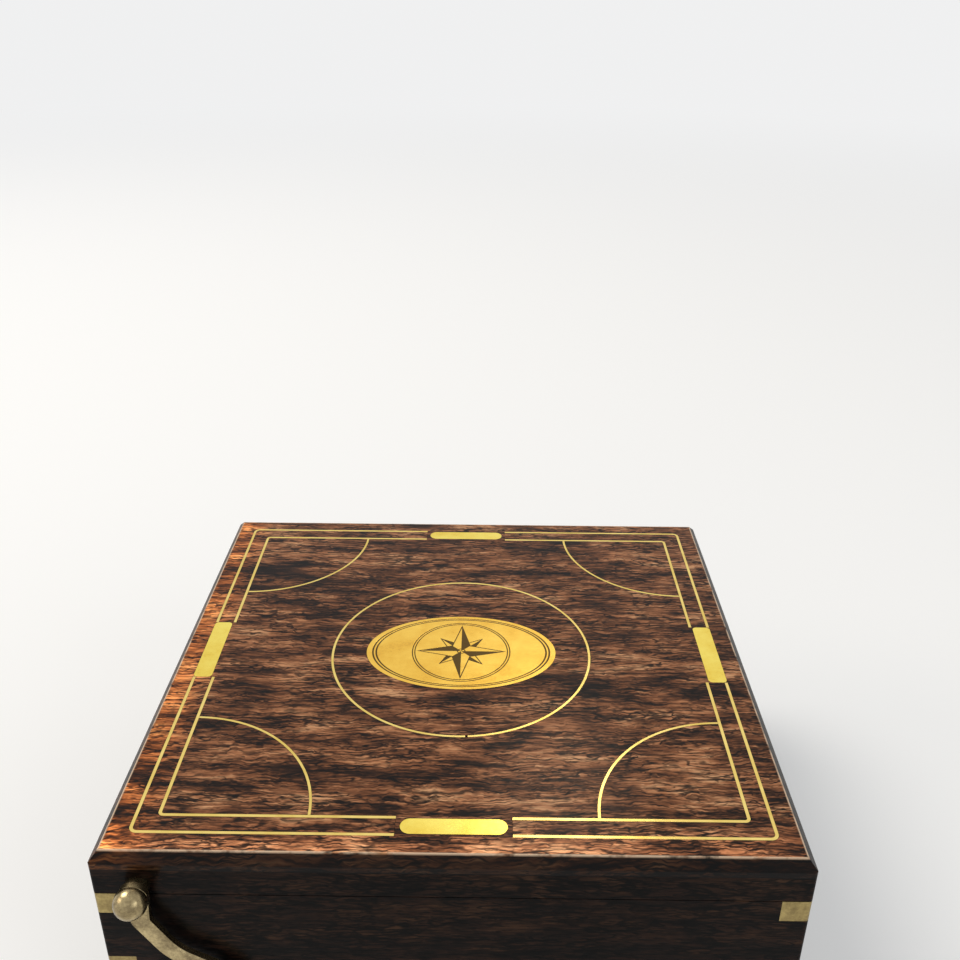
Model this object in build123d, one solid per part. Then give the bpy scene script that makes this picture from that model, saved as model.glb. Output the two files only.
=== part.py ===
from build123d import *
import os

# A sextant box in hardwood, in millimetres. +Z is up, the front looks towards -Y,
# and the origin is the centre of the underside.

# Walls of the case, mitred at the corners.
case_width = 165.2
case_depth = 158.6
case_height = 68.8
wall_thickness = 8.0
corner_radius = 0.8

# Bottom board in a rabbet, with felt glued under it.
bottom_thickness = 5.0
bottom_rabbet = 4.0
felt_thickness = 1.0
felt_margin = 2.0

# Lid: a bevelled panel glued on four mitred rails, flush with them.
lid_gap = 0.2
rail_height = 7.2
panel_thickness = 4.2
bevel_width = 2.1
bevel_height = 2.4
bevel_round = 0.6

# Brass let into the top of the lid, with a little room for glue all round.
inlay_depth = 1.2
inlay_fit = 0.06
line_width = 0.8
line_inset = 7.6
line_spacing = 5.4
outer_line_radius = 1.6
inner_line_radius = 1.0
arc_line_width = 0.65
arc_radius = 35.3
ring_radius = 37.5
ring_joint_gap = 0.7
ring_joint_shift = 2.3
oval_length = 55.4
oval_width = 35.8
plate_length = 25.2
plate_width = 4.8
surround_length = 27.4
side_plate_length = 27.0
side_plate_width = 5.2
side_plate_radius = 1.2

# Brass straps let into the upright corners of the case, in evenly spaced rows.
strap_rows = 4
strap_height = 6.2
strap_leg = 7.0
strap_thickness = 1.2

# Butt hinges at the back. Both edges are bevelled there, and the bevels stop the open lid.
hinge_margin = 24.0
hinge_length = 26.0
hinge_inset = 2.0
knuckle_count = 3
knuckle_gap = 0.15
barrel_radius = 1.8
barrel_clearance = 0.3
leaf_thickness = 1.2
pin_radius = 0.8
pin_fit = 0.025
pin_clearance = 0.06
lid_open_angle = 100.0
stop_gap = 0.1

# Hook on the lid and the stud that it catches on the front wall.
hook_side_inset = 10.5
hook_rise = 2.4
hook_length = 38.0
hook_rest_angle = 31.0
hook_thickness = 1.8
hook_boss_radius = 3.4
hook_arm_width = 4.4
hook_arm_offset = 3.4
hook_knee_drop = 7.0
hook_bow_drop = 19.0
hook_bow_end = 31.0
hook_bow_radius = 16.0
hook_end_radius = 5.0
hook_tail_reach = 9.5
hook_tail_offset = 3.4
hook_tail_radius = 1.7
hook_blend = 2.0
hook_lip_radius = 0.5
hook_edge_ease = 0.35
mouth_turn = 20.0
running_gap = 0.1
washer_radius = 2.8
washer_thickness = 1.8
washer_ease = 0.4
stem_radius = 1.3
stem_depth = 6.0
stem_fit = 0.06
ball_seat_radius = 3.7
ball_height = 4.9
catch_neck_radius = 1.4
catch_play = 0.45
catch_head_radius = 3.2
catch_head_thickness = 1.6
catch_head_ease = 0.7
catch_base_radius = 3.3
catch_base_thickness = 1.6
catch_base_ease = 0.6

# Velvet-covered boards that line the case and the lid.
lining_thickness = 1.5
lining_drop = 3.0
floor_pad_thickness = 1.5
lid_pad_thickness = 2.0
lid_pad_margin = 1.0

# Supports that the instrument lies on.
leg_rest_radius = 9.0
leg_rest_height = 8.0
leg_dish_radius = 5.5
leg_dish_depth = 2.0
front_leg_left_x = -46.0
front_leg_right_x = 52.0
front_leg_y = -46.0
back_leg_x = -8.0
back_leg_y = 50.0
handle_rest_x = 24.0
handle_rest_front_y = -20.0
handle_rest_back_y = 30.0
handle_rest_width = 34.0
handle_rest_thickness = 9.0
handle_rest_height = 24.0
handle_notch_width = 20.0
handle_notch_depth = 15.0
handle_rest_round = 3.0

# Levels and places that follow from the sizes above.
wall_base = felt_thickness
wall_top = wall_base + case_height
rail_base = wall_top + lid_gap
panel_base = rail_base + rail_height
lid_top = panel_base + panel_thickness
inner_width = case_width - 2 * wall_thickness
inner_depth = case_depth - 2 * wall_thickness
floor_z = wall_base + bottom_thickness
pad_z = floor_z + floor_pad_thickness
front_y = -case_depth / 2
hinge_y = case_depth / 2 - hinge_inset
hinge_z = wall_top + lid_gap / 2
leaf_reach = wall_thickness - hinge_inset
hook_x = -case_width / 2 + hook_side_inset
hook_z = rail_base + hook_rise
catch_z = hook_z - hook_length
hook_back = washer_thickness + running_gap
ball_seat = hook_back + hook_thickness + running_gap
notch_radius = catch_neck_radius + catch_play

FAR = 1000.0  # larger than the box, for cutting tools that run right across it
STANDING = (Align.CENTER, Align.CENTER, Align.MIN)


def upright(sketch, base, height):
    """A sketch in plan, raised from a level."""
    return Pos(0, 0, base) * extrude(sketch, height)


def crosswise(section, length):
    """A section drawn in Y and Z, run left and right of the middle."""
    return extrude(Plane.YZ * section, length / 2, both=True)


def outwards(piece, x, z, face=front_y):
    """A piece drawn about +Z, turned to stand out of the front face at x and z."""
    return Pos(x, face, z) * Rot(90, 0, 0) * piece


def group(pieces):
    return Compound(children=list(pieces))


# ---- Carcase ----


def mitred_boards(base, height):
    """Front, right, back and left boards of a frame, mitred and softened at the outer corners."""
    outside = upright(RectangleRounded(case_width, case_depth, corner_radius), base, height)
    boards = {}
    for turn, (side, length, across) in enumerate(
        [
            ("front", case_width, case_depth),
            ("right", case_depth, case_width),
            ("back", case_width, case_depth),
            ("left", case_depth, case_width),
        ]
    ):
        outer, inner = -across / 2, -across / 2 + wall_thickness
        half, short = length / 2, length / 2 - wall_thickness
        plan = make_face(
            Polyline((-half, outer), (half, outer), (short, inner), (-short, inner), close=True)
        )
        boards[side] = Rot(0, 0, 90 * turn) * upright(plan, base, height) & outside
    return boards


def back_bevels():
    """Wedges off the back edges of the case and of the lid, which meet when the lid is open."""
    slope = (lid_open_angle + 1) / 2
    below = Rectangle(FAR, FAR, align=(Align.CENTER, Align.MIN))
    at_hinge = Pos(hinge_y, hinge_z)
    beyond = Pos(hinge_y + FAR / 2 - hinge_inset, hinge_z) * Rectangle(FAR, FAR)
    case_wedge = at_hinge * Rot(0, 0, -slope) * Pos(0, -stop_gap) * below & beyond
    lid_wedge = at_hinge * Rot(0, 0, slope) * Pos(0, stop_gap) * Rot(0, 0, 180) * below & beyond
    return crosswise(case_wedge, 2 * case_width), crosswise(lid_wedge, 2 * case_width)


def strap_levels():
    pitch = (case_height - strap_height) / (strap_rows - 1)
    return [wall_base + row * pitch for row in range(strap_rows)]


def corner_straps(x_side, y_side):
    """The brass angles of one upright corner, one for each row."""
    outer = RectangleRounded(case_width, case_depth, corner_radius)
    inner = Rectangle(case_width - 2 * strap_thickness, case_depth - 2 * strap_thickness)
    corner = Pos(x_side * case_width / 2, y_side * case_depth / 2)
    angle = (outer - inner) & corner * Rectangle(2 * strap_leg, 2 * strap_leg)
    return [upright(angle, level, strap_height) for level in strap_levels()]


def make_case_walls(case_wedge):
    walls = mitred_boards(wall_base, case_height)
    rabbet = make_bottom_board()
    straps = {
        (x_side, y_side): corner_straps(x_side, y_side) for x_side in (-1, 1) for y_side in (-1, 1)
    }
    all_straps = [strap for corner in straps.values() for strap in corner]
    for side in walls:
        walls[side] = walls[side] - rabbet - all_straps
        if side != "front":
            walls[side] -= case_wedge
    for corner, pieces in straps.items():
        straps[corner] = [piece - case_wedge if corner[1] > 0 else piece for piece in pieces]
    return walls, straps


def make_bottom_board():
    board = Rectangle(inner_width + 2 * bottom_rabbet, inner_depth + 2 * bottom_rabbet)
    return upright(board, wall_base, bottom_thickness)


def make_base_felt():
    sheet = RectangleRounded(
        case_width - 2 * felt_margin, case_depth - 2 * felt_margin, corner_radius
    )
    return upright(sheet, 0, felt_thickness)


# ---- Lid panel and its brass ----


def bevelled_section(width):
    """The panel's section across one way: square below, bevelled above, eased between the two."""
    half, arris = width / 2, width / 2 - bevel_width
    land = panel_thickness - bevel_height
    section = make_face(
        Polyline(
            (-half, 0),
            (half, 0),
            (half, land),
            (arris, panel_thickness),
            (-arris, panel_thickness),
            (-half, land),
            close=True,
        )
    )
    eased = section.vertices().sort_by(Axis.Y)[2:4]
    return fillet(eased, bevel_round)


def lined_frame(inset, radius, room):
    """A line all round the panel at an inset from its edge."""
    width, depth = case_width - 2 * inset, case_depth - 2 * inset
    spread = line_width + 2 * room
    outer = RectangleRounded(width + spread, depth + spread, radius + spread / 2)
    inner = RectangleRounded(width - spread, depth - spread, radius - spread / 2)
    return outer - inner


def lined_circle(radius, room):
    """A finer line along a circle."""
    half = arc_line_width / 2 + room
    return Circle(radius + half) - Circle(radius - half)


def lined_corners(room):
    """Quarter circles about the corners of the inner line, up to that line."""
    inset = line_inset + line_spacing
    corner_x, corner_y = case_width / 2 - inset, case_depth / 2 - inset
    edge = line_width + 2 * (inlay_fit - room)
    field = Rectangle(2 * corner_x - edge, 2 * corner_y - edge)
    arc = lined_circle(arc_radius, room)
    return [Pos(x * corner_x, y * corner_y) * arc & field for x in (-1, 1) for y in (-1, 1)]


def border_middles():
    """The middles of the front and back borders, half way between the two lines."""
    along = case_depth / 2 - line_inset - line_spacing / 2
    return [Pos(0, -along), Pos(0, along)]


def side_middles():
    """The middles of the side plates, whose outer edges run along the outer line's."""
    across = case_width / 2 - line_inset + line_width / 2 - side_plate_width / 2
    return [Pos(-across, 0) * Rot(0, 0, 90), Pos(across, 0) * Rot(0, 0, 90)]


def lid_outlines(room):
    """Plan outlines of all that is let into the lid's top, by node name, grown by some room."""
    surround = Rectangle(surround_length + 2 * room, line_spacing + line_width + 2 * room)
    plate = SlotOverall(plate_length + 2 * room, plate_width + 2 * room)
    side_plate = RectangleRounded(
        side_plate_length + 2 * room, side_plate_width + 2 * room, side_plate_radius + room
    )
    return {
        "outer_line": [lined_frame(line_inset, outer_line_radius, room)],
        "inner_line": [lined_frame(line_inset + line_spacing, inner_line_radius, room)],
        "corner_arcs": lined_corners(room),
        "centre_ring": [lined_circle(ring_radius, room)],
        "oval_plate": [Ellipse(oval_length / 2 + room, oval_width / 2 + room)],
        "plate_surrounds": [place * surround for place in border_middles()],
        "border_plates": [place * plate for place in border_middles()],
        "side_plates": [place * side_plate for place in side_middles()],
    }


def line_stops(room):
    """Where both lines are broken: at the surrounds and beside the side plates."""
    surround = Rectangle(surround_length + 2 * room, 2 * line_spacing)
    side = Rectangle(side_plate_length + 2 * room, 2 * line_spacing)
    ends = [place * surround for place in border_middles()]
    return ends + [place * side for place in side_middles()]


def lid_inlays():
    """Outlines of the inlaid pieces, and of the grooves and pockets that they lie in."""
    pieces, pockets = lid_outlines(0), lid_outlines(inlay_fit)
    for name in ("outer_line", "inner_line"):
        pieces[name] = [line - line_stops(inlay_fit) for line in pieces[name]]
        pockets[name] = [line - line_stops(0) for line in pockets[name]]
    pieces["plate_surrounds"] = [
        surround - hole for surround, hole in zip(pieces["plate_surrounds"], pockets["border_plates"])
    ]
    joint = Pos(ring_joint_shift, -ring_radius) * Rectangle(ring_joint_gap, 2 * line_width)
    pieces["centre_ring"] = [ring - joint for ring in pieces["centre_ring"]]
    return pieces, pockets


def let_in(outlines):
    """Flat pieces on those outlines, flush with the lid's top."""
    faces = [face for outline in outlines for face in outline.faces()]
    return [upright(face, lid_top - inlay_depth, inlay_depth) for face in faces]


def make_lid_panel():
    """The bevelled panel with its pockets, and the pieces that fill them."""
    front_to_back = crosswise(bevelled_section(case_depth), case_width)
    side_to_side = extrude(Plane.XZ * bevelled_section(case_width), case_depth / 2, both=True)
    outside = extrude(RectangleRounded(case_width, case_depth, corner_radius), panel_thickness)
    panel = Pos(0, 0, panel_base) * (front_to_back & side_to_side & outside)
    pieces, pockets = lid_inlays()
    for outlines in pockets.values():
        panel -= let_in(outlines)
    return panel, {name: let_in(outlines) for name, outlines in pieces.items()}


# ---- Hinges ----


def hinge_middles():
    """How far left and right of the middle the two hinges sit, a margin in from the case's ends."""
    middle = case_width / 2 - hinge_margin - hinge_length / 2
    return [-middle, middle]


def knuckle_spans(first):
    """Start and length of every second knuckle from the first, along the barrel."""
    pitch = hinge_length / knuckle_count
    return [
        (-hinge_length / 2 + n * pitch + knuckle_gap / 2, pitch - knuckle_gap)
        for n in range(first, knuckle_count, 2)
    ]


def barrel(radius, start, length):
    """A round along the hinge axis."""
    return Pos(start, hinge_y, hinge_z) * Rot(0, 90, 0) * Cylinder(
        radius, length, align=STANDING
    )


def make_pin(middle):
    return Pos(middle, 0, 0) * barrel(pin_radius, -hinge_length / 2, hinge_length)


def make_leaf(middle, lid_side):
    """One leaf: a flat plate and its knuckles. The two leaves of a hinge interleave."""
    level = rail_base if lid_side else wall_top
    low = level if lid_side else level - leaf_thickness
    inner_y = hinge_y - leaf_reach
    flat_depth = leaf_reach - barrel_radius - barrel_clearance
    plate = Pos(0, inner_y + flat_depth / 2) * Rectangle(hinge_length, flat_depth)
    leaf = upright(plate, low, leaf_thickness)
    for start, length in knuckle_spans(1 if lid_side else 0):
        tab = Pos(start + length / 2, inner_y + leaf_reach / 2) * Rectangle(length, leaf_reach)
        leaf += upright(tab, low, leaf_thickness) + barrel(barrel_radius, start, length)
    bore = pin_radius + (pin_clearance if lid_side else pin_fit)
    return Pos(middle, 0, 0) * (leaf - barrel(bore, -hinge_length, 2 * hinge_length))


def hinge_pocket(middle, lid_side):
    """Room for a leaf and its barrel in the edge that carries them."""
    level = rail_base if lid_side else wall_top
    low = level if lid_side else level - leaf_thickness
    seat = Pos(middle, hinge_y - leaf_reach / 2) * Rectangle(hinge_length, leaf_reach)
    reach = hinge_length + 2 * barrel_clearance
    pocket = upright(seat, low, leaf_thickness)
    return pocket + Pos(middle, 0, 0) * barrel(barrel_radius + barrel_clearance, -reach / 2, reach)


# ---- Hook and catch ----


def hook_outline():
    """The hook as it hangs latched: a boss, an arm that bows to the right, a mouth and a tail."""
    left, right = -hook_arm_offset, hook_end_radius - hook_arm_width / 2
    boss, strip_end = Circle(hook_boss_radius), Circle(hook_arm_width / 2)
    knee, end = Pos(left, -hook_knee_drop), Pos(0, -hook_length)
    bow = [(left, -hook_knee_drop), (left, -hook_bow_drop), (right, -hook_bow_end), (right, -hook_length)]
    tail_tip = Pos(hook_tail_offset, -hook_length - hook_tail_reach) * Circle(hook_tail_radius)
    shape = make_hull(boss.edges() + (knee * strip_end).edges())
    shape += SlotArc(FilletPolyline(*bow, radius=hook_bow_radius), hook_arm_width)
    shape += end * Circle(hook_end_radius)
    shape += make_hull((end * strip_end).edges() + tail_tip.edges())
    shape = offset(offset(shape, hook_blend), -hook_blend)
    shape -= SlotArc(CenterArc((0, 0), hook_length, -90, -mouth_turn), 2 * notch_radius)
    lips = shape.vertices().filter_by(lambda v: v.Y < -hook_bow_end).sort_by(Axis.X)[:2]
    return fillet(lips, hook_lip_radius) - Circle(stem_radius + stem_fit)


def make_hook():
    """The flat brass hook, eased round its front and swung aside to its rest angle."""
    plate = extrude(hook_outline(), hook_thickness)
    front_rim = plate.faces().sort_by(Axis.Z)[-1].outer_wire().edges()
    plate = chamfer(front_rim, hook_edge_ease)
    return outwards(Pos(0, 0, hook_back) * Rot(0, 0, hook_rest_angle) * plate, hook_x, hook_z)


def domed_head(seat_radius, height, seat):
    """A sphere cut flat at its seat: nearly a ball where it is higher than its seat is wide."""
    sphere_radius = (seat_radius**2 + height**2) / (2 * height)
    sphere = Pos(0, 0, seat + height - sphere_radius) * Sphere(sphere_radius)
    return sphere & Pos(0, 0, seat) * Cylinder(FAR, FAR, align=STANDING)


def stem(radius, seat):
    """The plain shank of a stud, from its blind end in the wood to the seat of its head."""
    return Pos(0, 0, -stem_depth) * Cylinder(radius, stem_depth + seat, align=STANDING)


def eased_disc(radius, thickness, seat, ease):
    """A turned disc on a seat, eased at the rim that faces out."""
    disc = Pos(0, 0, seat) * Cylinder(radius, thickness, align=STANDING)
    return chamfer(disc.faces().sort_by(Axis.Z)[-1].edges(), ease)


def bush(radius, thickness, bore, ease):
    """A turned ring that lies on the wood round a stud."""
    return eased_disc(radius, thickness, 0, ease) - Cylinder(bore + stem_fit / 2, 4 * thickness)


def make_hook_pivot():
    """The ball-headed stud that the hook turns on."""
    stud = stem(stem_radius, ball_seat) + domed_head(ball_seat_radius, ball_height, ball_seat)
    return outwards(stud, hook_x, hook_z)


def make_hook_washer():
    washer = bush(washer_radius, washer_thickness, stem_radius, washer_ease)
    return outwards(washer, hook_x, hook_z)


def make_catch_stud():
    """The stud on the front wall: a neck that the hook's mouth closes on, and a flat head."""
    head_seat = hook_back + hook_thickness + catch_play
    head = eased_disc(catch_head_radius, catch_head_thickness, head_seat, catch_head_ease)
    return outwards(stem(catch_neck_radius, head_seat) + head, hook_x, catch_z)


def make_catch_base():
    """The rosette under the stud's neck."""
    rosette = bush(catch_base_radius, catch_base_thickness, catch_neck_radius, catch_base_ease)
    return outwards(rosette, hook_x, catch_z)


def stem_hole(radius, z):
    hole = Pos(0, 0, -stem_depth) * Cylinder(radius + stem_fit / 2, 2 * stem_depth, align=STANDING)
    return outwards(hole, hook_x, z)


# ---- Inside ----


def make_linings():
    """Velvet-covered boards on the four walls. The front and back ones run full width."""
    height = wall_top - lining_drop - floor_z
    across = Rectangle(inner_width, lining_thickness)
    along = Rectangle(lining_thickness, inner_depth - 2 * lining_thickness)
    shift_x, shift_y = (inner_width - lining_thickness) / 2, (inner_depth - lining_thickness) / 2
    return {
        "lining_front": upright(Pos(0, -shift_y) * across, floor_z, height),
        "lining_back": upright(Pos(0, shift_y) * across, floor_z, height),
        "lining_left": upright(Pos(-shift_x, 0) * along, floor_z, height),
        "lining_right": upright(Pos(shift_x, 0) * along, floor_z, height),
    }


def make_floor_pad():
    pad = Rectangle(inner_width - 2 * lining_thickness, inner_depth - 2 * lining_thickness)
    return upright(pad, floor_z, floor_pad_thickness)


def make_lid_pad():
    pad = Rectangle(inner_width - 2 * lid_pad_margin, inner_depth - 2 * lid_pad_margin)
    return upright(pad, panel_base - lid_pad_thickness, lid_pad_thickness)


def make_leg_rests():
    """Turned rests for the instrument's three feet, each with a shallow dish."""
    rest = Cylinder(leg_rest_radius, leg_rest_height, align=STANDING)
    dish = Pos(0, 0, leg_rest_height - leg_dish_depth) * Cylinder(
        leg_dish_radius, 2 * leg_dish_depth, align=STANDING
    )
    places = [
        (front_leg_left_x, front_leg_y),
        (front_leg_right_x, front_leg_y),
        (back_leg_x, back_leg_y),
    ]
    return [Pos(x, y, pad_z) * (rest - dish) for x, y in places]


def make_handle_rest(y):
    """A block with a round-bottomed notch that the instrument's handle drops into."""
    block = Pos(0, handle_rest_height / 2) * Rectangle(handle_rest_width, handle_rest_height)
    top = [v for v in block.vertices() if v.Y > handle_rest_height / 2]
    block = fillet(top, handle_rest_round)
    notch = Rot(0, 0, 90) * SlotOverall(2 * handle_notch_depth, handle_notch_width)
    notch = Pos(0, handle_rest_height) * notch
    front = Plane.XZ * (block - notch)
    return Pos(handle_rest_x, y, pad_z) * extrude(front, handle_rest_thickness / 2, both=True)


# ---- Assembly ----


def build():
    case_wedge, lid_wedge = back_bevels()
    walls, straps = make_case_walls(case_wedge)
    rails = mitred_boards(rail_base, rail_height)
    for side in rails:
        if side != "front":
            rails[side] -= lid_wedge
    for middle in hinge_middles():
        walls["back"] -= hinge_pocket(middle, False)
        rails["back"] -= hinge_pocket(middle, True)
    walls["front"] -= stem_hole(catch_neck_radius, catch_z)
    rails["front"] -= stem_hole(stem_radius, hook_z)
    panel, inlays = make_lid_panel()

    nodes = {f"wall_{side}": wall for side, wall in walls.items()}
    nodes.update({f"lid_rail_{side}": rail for side, rail in rails.items()})
    for (x_side, y_side), pieces in straps.items():
        end = "front" if y_side < 0 else "back"
        side = "left" if x_side < 0 else "right"
        nodes[f"corner_straps_{end}_{side}"] = group(pieces)
    nodes["bottom_board"] = make_bottom_board()
    nodes["base_felt"] = make_base_felt()
    nodes["lid_panel"] = panel
    nodes.update({name: group(pieces) for name, pieces in inlays.items()})
    for middle in hinge_middles():
        side = "left" if middle < 0 else "right"
        nodes[f"hinge_{side}_case_leaf"] = make_leaf(middle, False)
        nodes[f"hinge_{side}_lid_leaf"] = make_leaf(middle, True)
        nodes[f"hinge_{side}_pin"] = make_pin(middle)
    nodes["hook"] = make_hook()
    nodes["hook_pivot"] = make_hook_pivot()
    nodes["hook_washer"] = make_hook_washer()
    nodes["catch_stud"] = make_catch_stud()
    nodes["catch_base"] = make_catch_base()
    nodes.update(make_linings())
    nodes["floor_pad"] = make_floor_pad()
    nodes["lid_pad"] = make_lid_pad()
    nodes["leg_rests"] = group(make_leg_rests())
    nodes["handle_rest_front"] = make_handle_rest(handle_rest_front_y)
    nodes["handle_rest_back"] = make_handle_rest(handle_rest_back_y)
    return nodes


os.makedirs("parts", exist_ok=True)
for name, shape in build().items():
    export_step(shape, f"parts/{name}.step")
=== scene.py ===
import math

import bmesh
import bpy
from mathutils import Matrix, Vector


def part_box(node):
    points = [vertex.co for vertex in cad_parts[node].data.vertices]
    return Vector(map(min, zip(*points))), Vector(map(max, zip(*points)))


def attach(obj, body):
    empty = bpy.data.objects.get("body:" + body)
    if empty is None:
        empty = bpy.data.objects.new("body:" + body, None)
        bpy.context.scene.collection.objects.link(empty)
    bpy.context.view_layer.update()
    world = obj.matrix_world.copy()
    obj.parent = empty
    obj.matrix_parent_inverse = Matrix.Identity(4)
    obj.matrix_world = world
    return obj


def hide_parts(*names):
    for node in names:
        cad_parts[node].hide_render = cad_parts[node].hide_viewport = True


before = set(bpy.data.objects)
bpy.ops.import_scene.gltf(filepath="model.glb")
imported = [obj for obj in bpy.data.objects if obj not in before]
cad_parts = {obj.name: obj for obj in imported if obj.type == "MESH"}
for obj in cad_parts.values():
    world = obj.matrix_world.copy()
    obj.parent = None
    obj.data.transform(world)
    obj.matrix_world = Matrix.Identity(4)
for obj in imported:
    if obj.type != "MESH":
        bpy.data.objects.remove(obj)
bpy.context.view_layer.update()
mm = 0.001
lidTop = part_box("lid_panel")[1].z
print("frame loaded:", len(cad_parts), "nodes")


# small helpers for node trees

def addNode(tree, kind, inputs=None, **settings):
    made = tree.nodes.new(kind)
    for key, value in settings.items():
        setattr(made, key, value)
    for key, value in (inputs or {}).items():
        socket = made.inputs[key]
        if isinstance(value, bpy.types.NodeSocket):
            tree.links.new(value, socket)
        else:
            socket.default_value = value
    return made


def newMaterial(name):
    material = bpy.data.materials.new(name)
    material.use_nodes = True
    material.node_tree.nodes.clear()
    return material, material.node_tree


def finishMaterial(tree, shader):
    output = addNode(tree, "ShaderNodeOutputMaterial")
    tree.links.new(shader.outputs[0], output.inputs["Surface"])


def objectPlace(tree):
    return addNode(tree, "ShaderNodeTexCoord").outputs["Object"]


def objectPoint(tree, shift=(0, 0, 0), turn=(0, 0, 0)):
    # the place on the object, in metres, moved and turned for this material
    angles = [math.radians(t) for t in turn]
    inputs = {"Vector": objectPlace(tree), "Location": shift, "Rotation": angles}
    return addNode(tree, "ShaderNodeMapping", inputs).outputs["Vector"]


def stretched(tree, point, scale):
    mapping = addNode(tree, "ShaderNodeMapping", {"Vector": point, "Scale": scale})
    return mapping.outputs["Vector"]


def axes(tree, point):
    return addNode(tree, "ShaderNodeSeparateXYZ", {0: point}).outputs


def noise(tree, point, scale, detail=2.0, roughness=0.5, distortion=0.0):
    inputs = {"Vector": point, "Scale": scale, "Detail": detail, "Roughness": roughness}
    inputs["Distortion"] = distortion
    return addNode(tree, "ShaderNodeTexNoise", inputs).outputs["Fac"]


def maths(tree, operation, *values):
    made = addNode(tree, "ShaderNodeMath", operation=operation)
    for slot, value in zip(made.inputs, values):
        if isinstance(value, bpy.types.NodeSocket):
            tree.links.new(value, slot)
        else:
            slot.default_value = value
    return made.outputs[0]


def hypotenuse(tree, across, up):
    squares = [maths(tree, "MULTIPLY", side, side) for side in (across, up)]
    return maths(tree, "SQRT", maths(tree, "ADD", *squares))


def remap(tree, value, low, high, toLow=0.0, toHigh=1.0):
    inputs = {"Value": value, "From Min": low, "From Max": high, "To Min": toLow, "To Max": toHigh}
    return addNode(tree, "ShaderNodeMapRange", inputs).outputs["Result"]


def ramp(tree, value, stops):
    made = addNode(tree, "ShaderNodeValToRGB", {"Fac": value})
    band = made.color_ramp
    while len(band.elements) < len(stops):
        band.elements.new(0.5)
    for element, (place, colour) in zip(band.elements, stops):
        element.position = place
        element.color = (*colour, 1)
    return made.outputs["Color"]


def mixColour(tree, share, first, second, blend="MIX"):
    made = addNode(tree, "ShaderNodeMix", data_type="RGBA", blend_type=blend)
    for key, value in (("Factor", share), ("A", first), ("B", second)):
        socket = [s for s in made.inputs if s.name == key and (key == "Factor" or s.type == "RGBA")][0]
        if isinstance(value, bpy.types.NodeSocket):
            tree.links.new(value, socket)
        else:
            socket.default_value = value if key == "Factor" else (*value, 1)
    return [s for s in made.outputs if s.type == "RGBA"][0]


def tinted(tree, colour, tint):
    return mixColour(tree, 1.0, colour, tint, "MULTIPLY")


def shaded(tree, colour, share):
    grey = addNode(tree, "ShaderNodeCombineColor", {0: share, 1: share, 2: share}).outputs[0]
    return tinted(tree, colour, grey)


def bump(tree, height, strength, distance):
    inputs = {"Height": height, "Strength": strength, "Distance": distance}
    return addNode(tree, "ShaderNodeBump", inputs).outputs["Normal"]


# varnished rosewood: the grain runs along X before the turn is applied, and sizes are in metres

rosewood = {
    "nearBlack": (0.012, 0.004, 0.002),
    "dark": (0.046, 0.017, 0.007),
    "brown": (0.205, 0.075, 0.030),
    "red": (0.430, 0.180, 0.078),
    "tan": (0.640, 0.330, 0.160),
    "stops": (0.0, 0.24, 0.50, 0.76, 1.0), "toneRange": (0.388, 0.594),
    # scale and reach of the grain's sway, and how it is stretched
    "wander": (30, 0.0050), "wanderStretch": (0.40, 1, 1),
    "ripple": (260, 0.0016), "rippleStretch": (1, 0.4, 0.4),
    "bandSize": 0.0150, "blotchSize": 0.0052, "crestSize": 0.00120, "threadSize": 0.00060,
    "poreSize": 0.00055, "poreRange": (0.34, 0.44), "poreShade": 0.30,
    # of each layer: the share of its scale kept along the grain, its detail and its roughness
    "layers": {
        "band": (0.16, 2, 0.50), "blotch": (0.26, 3, 0.50), "crest": (0.12, 3, 0.55),
        "thread": (0.10, 2, 0.50), "pore": (0.16, 2, 0.50),
    },
    "toneShares": {"band": 0.26, "blotch": 0.36, "crest": 0.20, "thread": 0.18},
    # of each set of strokes: size, half width, darkest shade, share of the scale kept along the grain
    "strokes": ((0.00190, 0.050, 0.10, 0.17), (0.00110, 0.060, 0.22, 0.15)),
    "strokeDetail": 1.5, "strokeCore": 0.3,
    # of the growth rings: pitch, swing, size of the drift, darkest shade
    "rings": (0.00140, 6.0, 0.0060, 0.16), "ringAlong": 0.30, "ringWave": (0.30, 0.90),
    # where they fade: share of the scale kept along the grain, scale, low, high, weakest
    "strokeFade": (0.25, 210, 0.36, 0.54, 0.15), "ringFade": (0.30, 330, 0.40, 0.56, 0.1),
    "gloss": 0.05, "varnish": 0.18, "varnishRoughness": 0.16,
    "crestRange": (0.3, 0.7), "roughness": (0.50, 0.36),
    # strength and height of the relief in the wood, and in its coat of varnish
    "relief": (0.30, 0.00006), "threadRelief": 0.5,
    "coatRelief": (0.30, 0.00008), "coatFollows": 0.35, "flow": (0.5, 230),
}


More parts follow.
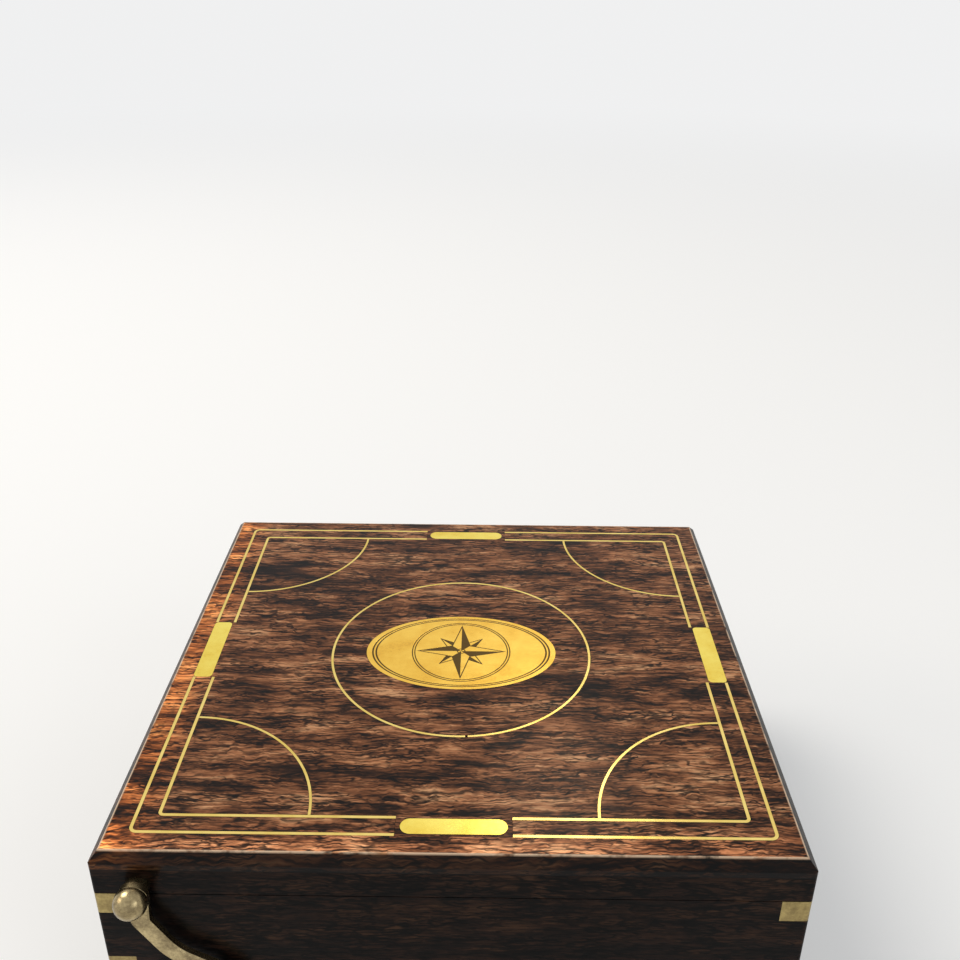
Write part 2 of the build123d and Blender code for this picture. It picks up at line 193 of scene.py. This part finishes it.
def makeRosewood(name, look, shift=(0, 0, 0), turn=(0, 0, 0), finish=None):
    material, tree = newMaterial(name)
    point = objectPoint(tree, shift, turn)
    # the grain wanders slowly and ripples finely as it runs along
    scale, reach = look["wander"]
    slow = noise(tree, stretched(tree, point, look["wanderStretch"]), scale)
    slow = maths(tree, "MULTIPLY", slow, reach)
    scale, reach = look["ripple"]
    quick = noise(tree, stretched(tree, point, look["rippleStretch"]), scale)
    sway = maths(tree, "MULTIPLY_ADD", quick, reach, slow)
    sideways = addNode(tree, "ShaderNodeCombineXYZ", {"Y": sway, "Z": sway}).outputs[0]
    grain = addNode(tree, "ShaderNodeVectorMath", {0: point, 1: sideways}, operation="ADD").outputs[0]

    def grainPoint(share):
        return stretched(tree, grain, (share, 1, 1))

    def layer(kind):
        share, detail, roughness = look["layers"][kind]
        return noise(tree, grainPoint(share), 1 / look[kind + "Size"], detail, roughness)

    def fade(kind):
        share, scale, low, high, weakest = look[kind + "Fade"]
        return remap(tree, noise(tree, grainPoint(share), scale), low, high, weakest, 1.0)

    crests, threads = layer("crest"), layer("thread")
    shares = look["toneShares"]
    tone = maths(tree, "MULTIPLY", layer("blotch"), shares["blotch"])
    tone = maths(tree, "MULTIPLY_ADD", crests, shares["crest"], tone)
    tone = maths(tree, "MULTIPLY_ADD", layer("band"), shares["band"], tone)
    tone = maths(tree, "MULTIPLY_ADD", threads, shares["thread"], tone)
    colours = [look[shade] for shade in ("nearBlack", "dark", "brown", "red", "tan")]
    colour = ramp(tree, remap(tree, tone, *look["toneRange"]), list(zip(look["stops"], colours)))
    pores = remap(tree, layer("pore"), *look["poreRange"])
    colour = shaded(tree, colour, remap(tree, pores, 0, 1, look["poreShade"], 1.0))
    # fine dark strokes and growth rings, which run on, waver, and fade in and out
    inks = []
    strokeFade = fade("stroke")
    for size, half, darkest, share in look["strokes"]:
        contour = noise(tree, grainPoint(share), 1 / size, look["strokeDetail"])
        contour = maths(tree, "ABSOLUTE", maths(tree, "SUBTRACT", contour, 0.5))
        line = remap(tree, contour, half * look["strokeCore"], half, 1.0, 0.0)
        inks.append((line, strokeFade, darkest))
    pitch, swing, driftSize, darkest = look["rings"]
    drift = maths(tree, "MULTIPLY", noise(tree, grainPoint(look["ringAlong"]), 1 / driftSize), swing)
    phase = maths(tree, "MULTIPLY_ADD", axes(tree, grain)["Y"], 1 / pitch, drift)
    wave = maths(tree, "SINE", maths(tree, "MULTIPLY", phase, 2 * math.pi))
    inks.append((remap(tree, wave, *look["ringWave"]), fade("ring"), darkest))
    for line, fading, darkest in inks:
        strength = maths(tree, "MULTIPLY", line, fading)
        colour = shaded(tree, colour, remap(tree, strength, 0.0, 1.0, 1.0, darkest))
    if finish:
        colour = finish(tree, colour)
    relief = maths(tree, "MULTIPLY_ADD", threads, look["threadRelief"], pores)
    share, scale = look["flow"]
    flow = noise(tree, stretched(tree, point, (share, 1, 1)), scale)
    coat = maths(tree, "MULTIPLY_ADD", relief, look["coatFollows"], flow)
    shader = addNode(tree, "ShaderNodeBsdfPrincipled", {
        "Base Color": colour, "Roughness": remap(tree, crests, *look["crestRange"], *look["roughness"]),
        "Normal": bump(tree, relief, *look["relief"]), "Coat Normal": bump(tree, coat, *look["coatRelief"]),
        "Specular IOR Level": look["gloss"], "Coat Weight": look["varnish"],
        "Coat Roughness": look["varnishRoughness"],
    })
    finishMaterial(tree, shader)
    return material


# painted light on the panel: shade on bevel and underside, arris highlight and wear, lit left end, front
# highlight

panelLightShadeAndWear = {
    "bevelWidth": 2.1 * mm, "bevelPaintedShade": 0.06, "arrisHalf": 0.34 * mm,
    "wearAndHighlightColour": (0.85, 0.62, 0.42), "wearAndHighlightMost": 0.95, "wearAndHighlightPatches": (240, 3), "wearAndHighlightRange": (0.30, 0.50),
    "leftReach": (4 * mm, 14 * mm), "leftGlow": (2.4, 1.85, 1.15),
    "frontReach": (3 * mm, 12 * mm), "frontGlow": (2.0, 1.9, 1.85),
    "underDepth": 0.2 * mm, "underPaintedShade": (0.20, 0.18, 0.18),
}


# paints light, shade and wear into the panel's colour
def paintPanelLightShadeAndWear(tree, colour):
    look = panelLightShadeAndWear
    low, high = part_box("lid_panel")
    place = axes(tree, objectPlace(tree))
    x, y = place["X"], place["Y"]
    outside = maths(tree, "GREATER_THAN", place["Z"], low.z + look["underDepth"])
    # painted shade: the underside, which shows only in the gap beside the lid's pad, is darkened
    colour = mixColour(tree, outside, tinted(tree, colour, look["underPaintedShade"]), colour)
    # painted light: the left end is made redder as warm light, and the front border paler as a highlight
    for side, axis, start in (("left", x, low.x), ("front", y, low.y)):
        near, far = look[side + "Reach"]
        glow = remap(tree, maths(tree, "SUBTRACT", axis, start), near, far, 1.0, 0.0)
        glow = maths(tree, "MULTIPLY", glow, outside)
        colour = mixColour(tree, glow, colour, tinted(tree, colour, look[side + "Glow"]))
    # painted shade: the bevel and the panel's edges are darkened
    edgeX = maths(tree, "SUBTRACT", high.x, maths(tree, "ABSOLUTE", x))
    edgeY = maths(tree, "SUBTRACT", high.y, maths(tree, "ABSOLUTE", y))
    fromEdge = maths(tree, "MINIMUM", edgeX, edgeY)
    fromArris = maths(tree, "SUBTRACT", fromEdge, look["bevelWidth"])
    bevel = remap(tree, fromArris, -look["arrisHalf"], look["arrisHalf"], look["bevelPaintedShade"], 1.0)
    colour = shaded(tree, colour, bevel)
    # painted highlight with wear: a pale line in patches along the arris
    arrisWearAndHighlight = remap(tree, maths(tree, "ABSOLUTE", fromArris), 0.0, look["arrisHalf"], look["wearAndHighlightMost"], 0.0)
    patchy = remap(tree, noise(tree, objectPlace(tree), *look["wearAndHighlightPatches"]), *look["wearAndHighlightRange"])
    return mixColour(tree, maths(tree, "MULTIPLY", arrisWearAndHighlight, patchy), colour, look["wearAndHighlightColour"])


# brass: bright where it is polished, brown where it is tarnished

brassLooks = {
    "inlay": {
        "bright": (0.94, 0.72, 0.23), "dull": (0.80, 0.57, 0.14), "tarnish": (0.50, 0.30, 0.07),
        "share": (0.66, 0.92), "roughness": (0.16, 0.30), "brush": (0.05, 1, 1),
    },
    "plate": {
        "bright": (0.97, 0.78, 0.16), "dull": (0.88, 0.63, 0.09), "tarnish": (0.55, 0.34, 0.06),
        "share": (0.56, 0.86), "roughness": (0.16, 0.28), "brush": (0.05, 1, 1),
    },
    "oval": {
        "bright": (0.98, 0.63, 0.11), "dull": (0.86, 0.50, 0.07), "tarnish": (0.46, 0.25, 0.05),
        "share": (0.58, 0.88), "roughness": (0.18, 0.34), "brush": (0.05, 1, 1),
    },
    "strap": {
        "bright": (0.48, 0.37, 0.15), "dull": (0.28, 0.21, 0.085), "tarnish": (0.13, 0.09, 0.042),
        "share": (0.42, 0.74), "roughness": (0.26, 0.46), "brush": (1, 1, 0.08),
    },
    "aged": {
        "bright": (0.56, 0.45, 0.24), "dull": (0.30, 0.23, 0.12), "tarnish": (0.09, 0.065, 0.036),
        "share": (0.40, 0.70), "roughness": (0.14, 0.38), "brush": (1, 1, 1),
    },
}
# scale, detail and roughness of each pattern, and how far each one counts
brassGrain = {
    "cloud": (120, 5, 0.62), "speck": (1400, 3, 0.6), "scratch": (5200, 2, 0.6),
    "dullRange": (0.35, 0.65), "cloudSpots": 0.65, "speckSpots": 0.35,
    "patinaWear": 0.7, "scratchWear": 0.6, "wearRange": (0.1, 1.0),
    "speckRelief": 0.5, "relief": (0.20, 0.00003),
}


def makeBrass(name, look, finish=None):
    grain = brassGrain
    material, tree = newMaterial(name)
    point = objectPoint(tree)
    cloud = noise(tree, point, *grain["cloud"])
    speck = noise(tree, point, *grain["speck"])
    scratch = noise(tree, stretched(tree, point, look["brush"]), *grain["scratch"])
    metal = mixColour(tree, remap(tree, cloud, *grain["dullRange"]), look["bright"], look["dull"])
    spots = maths(tree, "MULTIPLY", cloud, grain["cloudSpots"])
    spots = maths(tree, "MULTIPLY_ADD", speck, grain["speckSpots"], spots)
    patina = remap(tree, spots, *look["share"])
    colour = mixColour(tree, patina, metal, look["tarnish"])
    wear = maths(tree, "MULTIPLY", scratch, grain["scratchWear"])
    wear = maths(tree, "MULTIPLY_ADD", patina, grain["patinaWear"], wear)
    roughness = remap(tree, wear, *grain["wearRange"], *look["roughness"])
    relief = maths(tree, "MULTIPLY_ADD", speck, grain["speckRelief"], scratch)
    if finish:
        colour, relief = finish(tree, colour, relief)
    shader = addNode(tree, "ShaderNodeBsdfPrincipled", {
        "Base Color": colour, "Metallic": 1.0, "Roughness": roughness,
        "Normal": bump(tree, relief, *grain["relief"]),
    })
    finishMaterial(tree, shader)
    return material


# the oval plate's engraving: a plain compass figure in two rings, and two lines round the rim

engraving = {
    "rose": 12.6 * mm, "roseWaist": 2.6 * mm, "smallRose": 8.6 * mm, "smallWaist": 2.2 * mm,
    "rings": (13.6 * mm, 14.3 * mm), "rimLines": (0.90, 0.935), "line": 0.28 * mm, "soft": 0.06 * mm,
    "hub": 1.1 * mm, "fill": (0.035, 0.018, 0.008), "fillShare": 0.92, "depth": 3.0,
}


def engraveCompass(tree, colour, relief):
    look = engraving
    low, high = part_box("oval_plate")
    place = axes(tree, objectPlace(tree))
    x = maths(tree, "SUBTRACT", place["X"], (low.x + high.x) / 2)
    y = maths(tree, "SUBTRACT", place["Y"], (low.y + high.y) / 2)

    def lineAt(distance):
        # 1 on the line, soft at both sides of it
        gap = maths(tree, "ABSOLUTE", distance)
        return remap(tree, gap, look["line"] / 2, look["line"] / 2 + look["soft"], 1.0, 0.0)

    def filled(distance):
        return remap(tree, distance, 0.0, look["soft"])

    def star(across, up, tip, waist):
        # how far a place is inside a four-pointed star, and whether it is on a point's dark half
        wide, tall = maths(tree, "ABSOLUTE", across), maths(tree, "ABSOLUTE", up)
        most, least = maths(tree, "MAXIMUM", wide, tall), maths(tree, "MINIMUM", wide, tall)
        slope = waist / (tip - waist)
        halfWidth = maths(tree, "MULTIPLY", maths(tree, "SUBTRACT", tip, most), slope)
        inside = maths(tree, "SUBTRACT", halfWidth, least)
        sameSign = maths(tree, "GREATER_THAN", maths(tree, "MULTIPLY", across, up), 0.0)
        sideways = maths(tree, "GREATER_THAN", wide, tall)
        dark = maths(tree, "ABSOLUTE", maths(tree, "SUBTRACT", sameSign, sideways))
        return inside, dark

    half = math.sqrt(0.5)
    turnedX = maths(tree, "MULTIPLY", maths(tree, "ADD", x, y), half)
    turnedY = maths(tree, "MULTIPLY", maths(tree, "SUBTRACT", y, x), half)
    big, bigDark = star(x, y, look["rose"], look["roseWaist"])
    small, smallDark = star(turnedX, turnedY, look["smallRose"], look["smallWaist"])
    clear = maths(tree, "SUBTRACT", 1.0, filled(big))
    under = maths(tree, "MAXIMUM", maths(tree, "MULTIPLY", filled(small), smallDark), lineAt(small))
    cut = maths(tree, "MULTIPLY", under, clear)
    cut = maths(tree, "MAXIMUM", cut, maths(tree, "MULTIPLY", filled(big), bigDark))
    cut = maths(tree, "MAXIMUM", cut, lineAt(big))
    radius = hypotenuse(tree, x, y)
    for ring in look["rings"] + (look["hub"],):
        cut = maths(tree, "MAXIMUM", cut, lineAt(maths(tree, "SUBTRACT", radius, ring)))
    along = maths(tree, "DIVIDE", x, (high.x - low.x) / 2)
    up = maths(tree, "DIVIDE", y, (high.y - low.y) / 2)
    reach = hypotenuse(tree, along, up)
    for share in look["rimLines"]:
        fromLine = maths(tree, "MULTIPLY", maths(tree, "SUBTRACT", reach, share), (high.y - low.y) / 2)
        cut = maths(tree, "MAXIMUM", cut, lineAt(fromLine))
    colour = mixColour(tree, maths(tree, "MULTIPLY", cut, look["fillShare"]), colour, look["fill"])
    relief = maths(tree, "SUBTRACT", relief, maths(tree, "MULTIPLY", cut, look["depth"]))
    return colour, relief


# velvet and felt

velvetLook = {
    "deep": (0.060, 0.004, 0.008), "pile": (0.210, 0.014, 0.028), "sheen": (0.9, 0.20, 0.26),
    "pileSize": 0.00035, "relief": 0.00025,
}
feltLook = {
    "deep": (0.010, 0.035, 0.020), "pile": (0.030, 0.090, 0.055), "sheen": (0.5, 0.7, 0.6),
    "pileSize": 0.0006, "relief": 0.0003,
}
clothGrain = {
    # of the nap: scale, detail, roughness and twist, and of the pile: detail and roughness
    "nap": (60, 3, 0.6, 0.8), "pile": (3, 0.7), "napTone": 0.6, "pileTone": 0.5, "toneRange": (0.35, 0.75),
    "roughness": 0.85, "sheenWeight": 0.5, "sheenRoughness": 0.35, "gloss": 0.05, "bumpStrength": 0.5,
}


def makeCloth(name, look):
    grain = clothGrain
    material, tree = newMaterial(name)
    point = objectPoint(tree)
    nap = noise(tree, point, *grain["nap"])
    pile = noise(tree, point, 1 / look["pileSize"], *grain["pile"])
    tone = maths(tree, "MULTIPLY", pile, grain["pileTone"])
    tone = maths(tree, "MULTIPLY_ADD", nap, grain["napTone"], tone)
    colour = mixColour(tree, remap(tree, tone, *grain["toneRange"]), look["deep"], look["pile"])
    shader = addNode(tree, "ShaderNodeBsdfPrincipled", {
        "Base Color": colour, "Roughness": grain["roughness"], "Specular IOR Level": grain["gloss"],
        "Sheen Weight": grain["sheenWeight"], "Sheen Roughness": grain["sheenRoughness"],
        "Sheen Tint": (*look["sheen"], 1),
        "Normal": bump(tree, pile, grain["bumpStrength"], look["relief"]),
    })
    finishMaterial(tree, shader)
    return material


# every CAD node takes its finish

def dress(material, *names):
    for name in names:
        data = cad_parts[name].data
        data.materials.clear()
        data.materials.append(material)


# painted shade: a much darker copy of the rosewood, for the walls, lid rails and bottom
paintedShadeLook = dict(
    rosewood, nearBlack=(0.003, 0.002, 0.0015), dark=(0.007, 0.004, 0.003), brown=(0.018, 0.008, 0.005),
    red=(0.034, 0.015, 0.008), tan=(0.060, 0.028, 0.014), ripple=(260, 0.0007), varnish=0.09, gloss=0.04)
restLook = dict(
    rosewood, nearBlack=(0.020, 0.008, 0.004), dark=(0.045, 0.017, 0.007), brown=(0.100, 0.040, 0.017),
    red=(0.170, 0.070, 0.032), tan=(0.270, 0.130, 0.064), blotchSize=0.0080, crestSize=0.00060,
    strokes=((0.00080, 0.070, 0.45, 0.12),))
# where the wood of each board is cut from the pattern, in metres
cutPlaces = {
    "panel": (0.31, 0.07, 0.02), "surround": (0.77, 0.63, 0.11), "bottom": (0.5, 0.4, 0.3),
    "rests": (0.2, 0.9, 0.4), "firstSide": (0, 0.05, 0), "nextSide": (0.13, 0.21, 0.017),
}
boardTurns = {"front": 0, "right": 90, "back": 0, "left": 90}

dress(makeRosewood("rosewoodPanel", rosewood, cutPlaces["panel"], finish=paintPanelLightShadeAndWear), "lid_panel")
for count, (side, turn) in enumerate(boardTurns.items()):
    shift = [start + step * count for start, step in zip(cutPlaces["firstSide"], cutPlaces["nextSide"])]
    wood = makeRosewood("rosewoodPaintedShadeSide" + side.capitalize(), paintedShadeLook, shift, (0, 0, turn))
    dress(wood, "wall_" + side, "lid_rail_" + side)
dress(makeRosewood("rosewoodPaintedShadeBottom", paintedShadeLook, cutPlaces["bottom"]), "bottom_board")
dress(makeRosewood("rosewoodSurround", rosewood, cutPlaces["surround"]), "plate_surrounds")
dress(makeRosewood("rosewoodRests", restLook, cutPlaces["rests"]),
      "leg_rests", "handle_rest_front", "handle_rest_back")
dress(makeBrass("lineBrass", brassLooks["inlay"]), "outer_line", "inner_line", "corner_arcs", "centre_ring")
dress(makeBrass("plateBrass", brassLooks["plate"]), "border_plates", "side_plates")
dress(makeBrass("engravedBrass", brassLooks["oval"], engraveCompass), "oval_plate")
dress(makeBrass("strapBrass", brassLooks["strap"]),
      *[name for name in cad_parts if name.startswith("corner_straps")])
agedBrass = makeBrass("agedBrass", brassLooks["aged"])
dress(agedBrass, *[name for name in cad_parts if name.startswith("hinge_")])
dress(agedBrass, "hook", "hook_pivot", "hook_washer", "catch_stud", "catch_base")
velvet = makeCloth("wineVelvet", velvetLook)
felt = makeCloth("greenFelt", feltLook)
print("CAD nodes dressed")


# new pieces

def settle(bm, name, materials, body, *replaced, slot):
    # writes the mesh as a finished piece that rides on a body
    bmesh.ops.recalc_face_normals(bm, faces=bm.faces)
    data = bpy.data.meshes.new(name)
    bm.to_mesh(data)
    bm.free()
    for material in materials:
        data.materials.append(material)
    data.shade_smooth()
    piece = bpy.data.objects.new(name, data)
    bpy.context.scene.collection.objects.link(piece)
    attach(piece, body)
    if replaced:
        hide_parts(*replaced)
    return piece


boardLook = {"liningEdge": 0.70 * mm, "feltEdge": 0.3 * mm, "edgeSteps": 5}


def softBoard(low, high, edge):
    # a board with well rounded edges
    bm = bmesh.new()
    bmesh.ops.create_cube(bm, size=1)
    bmesh.ops.scale(bm, vec=high - low, verts=bm.verts)
    bmesh.ops.translate(bm, vec=(low + high) / 2, verts=bm.verts)
    bmesh.ops.bevel(bm, geom=bm.edges[:], offset=edge, offset_type="OFFSET", segments=boardLook["edgeSteps"],
                    profile=0.5, affect="EDGES", material=-1)
    return bm


for side in ("front", "back", "left", "right"):
    node = "lining_" + side
    low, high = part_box(node)
    board = softBoard(low, high, boardLook["liningEdge"])
    settle(board, "lining" + side.capitalize(), [velvet], "case", node, slot="velvet")


# padded boards under the instrument and in the lid: rolled at the rim, with a sewn channel inside it

padLook = {
    "cells": 120, "roll": 5.0 * mm, "rimShare": 0.35,
    "seamInset": 9.0 * mm, "seamHalf": 2.4 * mm, "seamDepth": 0.90 * mm,
}


def makePad(node, name, body, facing):
    look = padLook
    low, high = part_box(node)
    middle, size = (low + high) / 2, high - low
    base = low.z if facing > 0 else high.z
    bm = bmesh.new()
    bmesh.ops.create_grid(bm, x_segments=look["cells"], y_segments=look["cells"], size=0.5)
    bmesh.ops.scale(bm, vec=(size.x, size.y, 1), verts=bm.verts)
    for vert in bm.verts:
        inset = min(size.x / 2 - abs(vert.co.x), size.y / 2 - abs(vert.co.y))
        roll = 1 - min(inset / look["roll"], 1)
        rise = look["rimShare"] + (1 - look["rimShare"]) * math.sqrt(1 - roll * roll)
        channel = max(0, 1 - abs(inset - look["seamInset"]) / look["seamHalf"])
        vert.co.z = facing * (size.z * rise - look["seamDepth"] * channel * channel * (3 - 2 * channel))
    bmesh.ops.translate(bm, vec=(middle.x, middle.y, base), verts=bm.verts)
    skirt = bmesh.ops.extrude_face_region(bm, geom=bm.faces[:])
    for vert in [part for part in skirt["geom"] if isinstance(part, bmesh.types.BMVert)]:
        vert.co.z = base
    pad = settle(bm, name, [velvet], body, node, slot="velvet")


makePad("floor_pad", "floorPad", "case", 1)
makePad("lid_pad", "lidPad", "lid", -1)

low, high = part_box("base_felt")
feltBoard = softBoard(low, high, boardLook["feltEdge"])
baseFelt = settle(feltBoard, "baseFelt", [felt], "case", "base_felt", slot="felt")
print("soft pieces made")


# slotted heads of the hinge screws, just proud of the leaves

screwLook = {
    "radius": 1.4 * mm, "proud": 0.07 * mm, "ease": 0.05 * mm, "sides": 32, "turns": (35, -20),
    "spacing": 16 * mm, "flatDepth": 3.9 * mm, "slotHalf": 0.17 * mm,
    "slotPaintedShadeBright": (0.05, 0.035, 0.02), "slotPaintedShadeDull": (0.03, 0.02, 0.012), "roughness": (0.18, 0.38),
}
# painted shade: the slots are not cut, so a dark brass on their faces stands in for their shade
slotPaintedShade = makeBrass("slotPaintedShade", dict(
    brassLooks["aged"], bright=screwLook["slotPaintedShadeBright"], dull=screwLook["slotPaintedShadeDull"]))
screwBrass = makeBrass("screwBrass", dict(brassLooks["aged"], roughness=screwLook["roughness"]))


def makeScrews(name, body, leaves, level, facing):
    look = screwLook
    bm = bmesh.new()
    for leaf in leaves:
        low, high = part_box(leaf)
        for side, turn in zip((-1, 1), look["turns"]):
            made = bmesh.ops.create_cone(bm, cap_ends=True, segments=look["sides"], radius1=look["radius"],
                                         radius2=look["radius"] - look["ease"], depth=look["proud"])
            parts = made["verts"]
            for cut in (-1, 1):
                geom = list({edge for vert in parts for edge in vert.link_edges})
                geom += list({face for vert in parts for face in vert.link_faces}) + parts
                split = bmesh.ops.bisect_plane(bm, geom=geom, plane_co=(0, cut * look["slotHalf"], 0),
                                               plane_no=(0, 1, 0))
                parts += [part for part in split["geom_cut"] if isinstance(part, bmesh.types.BMVert)]
            # painted shade on the top faces of each slot
            for face in {face for vert in parts for face in vert.link_faces}:
                if abs(face.calc_center_median().y) < look["slotHalf"] and face.normal.z > 0.5:
                    face.material_index = 1
            spin = Matrix.Rotation(math.radians(turn), 3, "Z")
            bmesh.ops.rotate(bm, verts=parts, cent=(0, 0, 0), matrix=spin)
            if facing < 0:
                over = Matrix.Rotation(math.pi, 3, "X")
                bmesh.ops.rotate(bm, verts=parts, cent=(0, 0, 0), matrix=over)
            place = ((low.x + high.x) / 2 + side * look["spacing"] / 2, low.y + look["flatDepth"] / 2,
                     level + facing * look["proud"] / 2)
            bmesh.ops.translate(bm, vec=place, verts=parts)
    settle(bm, name, [screwBrass, slotPaintedShade], body, slot="aged_brass")


makeScrews("caseLeafScrews", "case", ("hinge_left_case_leaf", "hinge_right_case_leaf"),
           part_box("wall_back")[1].z, 1)
makeScrews("lidLeafScrews", "lid", ("hinge_left_lid_leaf", "hinge_right_lid_leaf"),
           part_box("lid_rail_back")[0].z, -1)
print("screws made")


# camera, floor and light

cameraLook = {
    "focalPixels": 1020.09, "imagePixels": 960, "sensor": 36.0, "clipStart": 0.01,
    "fromLidTop": (6.236 * mm, -246.541 * mm, 177.920 * mm),
    "turn": (1.11203854, -0.00766674, 0.00836321),
}
cameraData = bpy.data.cameras.new("photoCamera")
cameraData.sensor_width = cameraLook["sensor"]
cameraData.lens = cameraLook["sensor"] * cameraLook["focalPixels"] / cameraLook["imagePixels"]
cameraData.clip_start = cameraLook["clipStart"]
camera = bpy.data.objects.new("photoCamera", cameraData)
camera.location = Vector(cameraLook["fromLidTop"]) + Vector((0, 0, lidTop))
camera.rotation_euler = cameraLook["turn"]
bpy.context.scene.collection.objects.link(camera)
bpy.context.scene.camera = camera

stageLook = {
    "size": 120.0, "floor": (0.71, 0.71, 0.70), "glow": 0.42, "fade": (0.30, 2.20),
    "backdrop": (0.87, 0.872, 0.875), "light": (0.94, 0.96, 1.0), "strength": 0.42,
}


def raySees(tree):
    # 1 for a ray that shows the background: straight, mirrored or through glass
    path = addNode(tree, "ShaderNodeLightPath")
    mirrored = maths(tree, "MAXIMUM", path.outputs["Is Camera Ray"], path.outputs["Is Glossy Ray"])
    return maths(tree, "MAXIMUM", mirrored, path.outputs["Is Transmission Ray"])


def makeFloor():
    material, tree = newMaterial("paleFloor")
    matt = addNode(tree, "ShaderNodeBsdfDiffuse", {"Color": (*stageLook["floor"], 1)})
    strength = maths(tree, "MULTIPLY", raySees(tree), stageLook["glow"])
    glow = addNode(tree, "ShaderNodeEmission", {"Color": (*stageLook["floor"], 1), "Strength": strength})
    both = addNode(tree, "ShaderNodeAddShader", {0: matt.outputs[0], 1: glow.outputs[0]})
    # far from the object the floor takes the backdrop's colour, so that no horizon shows
    place = objectPlace(tree)
    reach = addNode(tree, "ShaderNodeVectorMath", {0: place}, operation="LENGTH").outputs["Value"]
    near, far = stageLook["fade"]
    fade = addNode(tree, "ShaderNodeMapRange", {"Value": reach, "From Min": near, "From Max": far},
                   interpolation_type="SMOOTHSTEP").outputs["Result"]
    away = addNode(tree, "ShaderNodeEmission", {"Color": (*stageLook["backdrop"], 1), "Strength": 1.0})
    faded = addNode(tree, "ShaderNodeMixShader", {
        0: maths(tree, "MULTIPLY", fade, raySees(tree)), 1: both.outputs[0], 2: away.outputs[0]})
    finishMaterial(tree, faded)
    bm = bmesh.new()
    bmesh.ops.create_grid(bm, x_segments=1, y_segments=1, size=stageLook["size"] / 2)
    data = bpy.data.meshes.new("floor")
    bm.to_mesh(data)
    bm.free()
    data.materials.append(material)
    floor = bpy.data.objects.new("floor", data)
    bpy.context.scene.collection.objects.link(floor)


def makeWorld():
    world = bpy.data.worlds.new("studio")
    world.use_nodes = True
    tree = world.node_tree
    tree.nodes.clear()
    light = addNode(tree, "ShaderNodeBackground", {
        "Color": (*stageLook["light"], 1), "Strength": stageLook["strength"]})
    seen = addNode(tree, "ShaderNodeBackground", {"Color": (*stageLook["backdrop"], 1), "Strength": 1.0})
    mixed = addNode(tree, "ShaderNodeMixShader", {0: raySees(tree), 1: light.outputs[0], 2: seen.outputs[0]})
    output = addNode(tree, "ShaderNodeOutputWorld")
    tree.links.new(mixed.outputs[0], output.inputs["Surface"])
    bpy.context.scene.world = world


makeFloor()
makeWorld()

lampAim = Vector((0, 0, 0.05))
lamps = {
    "key": {"place": (-1.40, 0.60, 2.10), "size": 1.3, "power": 30.0, "colour": (1.0, 0.95, 0.88)},
    "side": {"place": (-2.30, -0.40, 1.30), "size": 1.2, "power": 12.0, "colour": (1.0, 0.90, 0.78)},
    "fill": {"place": (2.10, -1.60, 1.50), "size": 1.8, "power": 11.0, "colour": (0.88, 0.93, 1.0)},
    "sheen": {"place": (0.216, 1.818, 1.868), "size": 0.40, "power": 1.4, "colour": (1.0, 0.90, 0.72)},
}
for name, look in lamps.items():
    data = bpy.data.lights.new(name, "AREA")
    data.shape = "DISK"
    data.size = look["size"]
    data.energy = look["power"]
    data.color = look["colour"]
    lamp = bpy.data.objects.new(name, data)
    lamp.location = look["place"]
    lamp.rotation_euler = (lampAim - lamp.location).to_track_quat("-Z", "Y").to_euler()
    bpy.context.scene.collection.objects.link(lamp)

bpy.context.scene.view_settings.view_transform = "Standard"
print("stage set")
